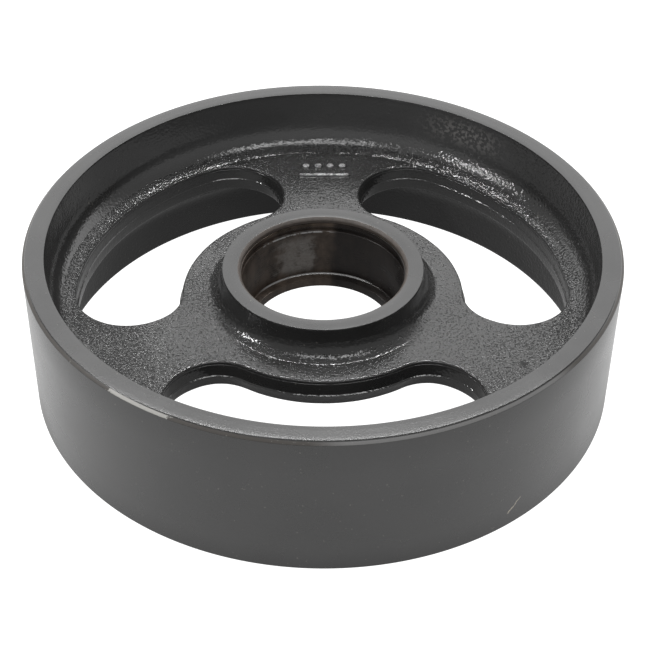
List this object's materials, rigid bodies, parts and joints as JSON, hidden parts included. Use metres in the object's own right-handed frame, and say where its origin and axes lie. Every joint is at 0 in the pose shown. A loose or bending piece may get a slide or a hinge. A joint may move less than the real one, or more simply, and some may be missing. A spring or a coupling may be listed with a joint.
{
  "type": "track roller wheel",
  "caption": "Spoked cast track roller wheel that turns on sealed needle rows round a stepped axle sleeve with a snap-ring groove in its bore.",
  "frame": {"origin": "on the spin axis at mid width of the rim", "axes": "+Z along the spin axis, out of the bore's mouth; one spoke points to +Y"},
  "size_m": [0.3599, 0.36, 0.097],
  "materials": {
    "painted_iron": "gloss dark grey enamel over a cast skin, smoother where machined",
    "oiled_steel": "bored steel with a brown oil film",
    "bearing_steel": "ground bright",
    "cage_steel": "rolled sheet",
    "seal_steel": "satin",
    "spring_steel": "bright wire",
    "ring_steel": "phosphated black",
    "nitrile": "matte",
    "bronze": "satin"
  },
  "bodies": {
    "axle_sleeve": {"axle_sleeve": "oiled_steel"},
    "wheel": {"wheel_casting": "painted_iron", "upper_needle_cup": "bearing_steel", "lower_needle_cup": "bearing_steel", "cup_spacer": "ring_steel", "upper_seal_case": "seal_steel", "lower_seal_case": "seal_steel", "upper_seal_lip": "nitrile", "lower_seal_lip": "nitrile", "upper_garter_spring": "spring_steel", "lower_garter_spring": "spring_steel", "upper_thrust_washer": "bronze", "lower_thrust_washer": "bronze", "retaining_ring": "ring_steel"},
    "upper_cage": {"upper_needle_cage": "cage_steel", "upper_needles": "bearing_steel"},
    "lower_cage": {"lower_needle_cage": "cage_steel", "lower_needles": "bearing_steel"}
  },
  "joints": [
    {"name": "wheel_spin", "type": "hinge", "parent": "axle_sleeve", "child": "wheel", "pos_m": [0, 0, 0], "axis": [0, 0, 1], "continuous": true},
    {"name": "upper_cage_spin", "type": "hinge", "parent": "axle_sleeve", "child": "upper_cage", "pos_m": [0, 0, 0.0097], "axis": [0, 0, 1], "continuous": true},
    {"name": "lower_cage_spin", "type": "hinge", "parent": "axle_sleeve", "child": "lower_cage", "pos_m": [0, 0, -0.0097], "axis": [0, 0, 1], "continuous": true}
  ],
  "couplings": [
    {"joint": "upper_cage_spin", "follows": "wheel_spin", "ratio": 0.5093},
    {"joint": "lower_cage_spin", "follows": "wheel_spin", "ratio": 0.5093}
  ]
}
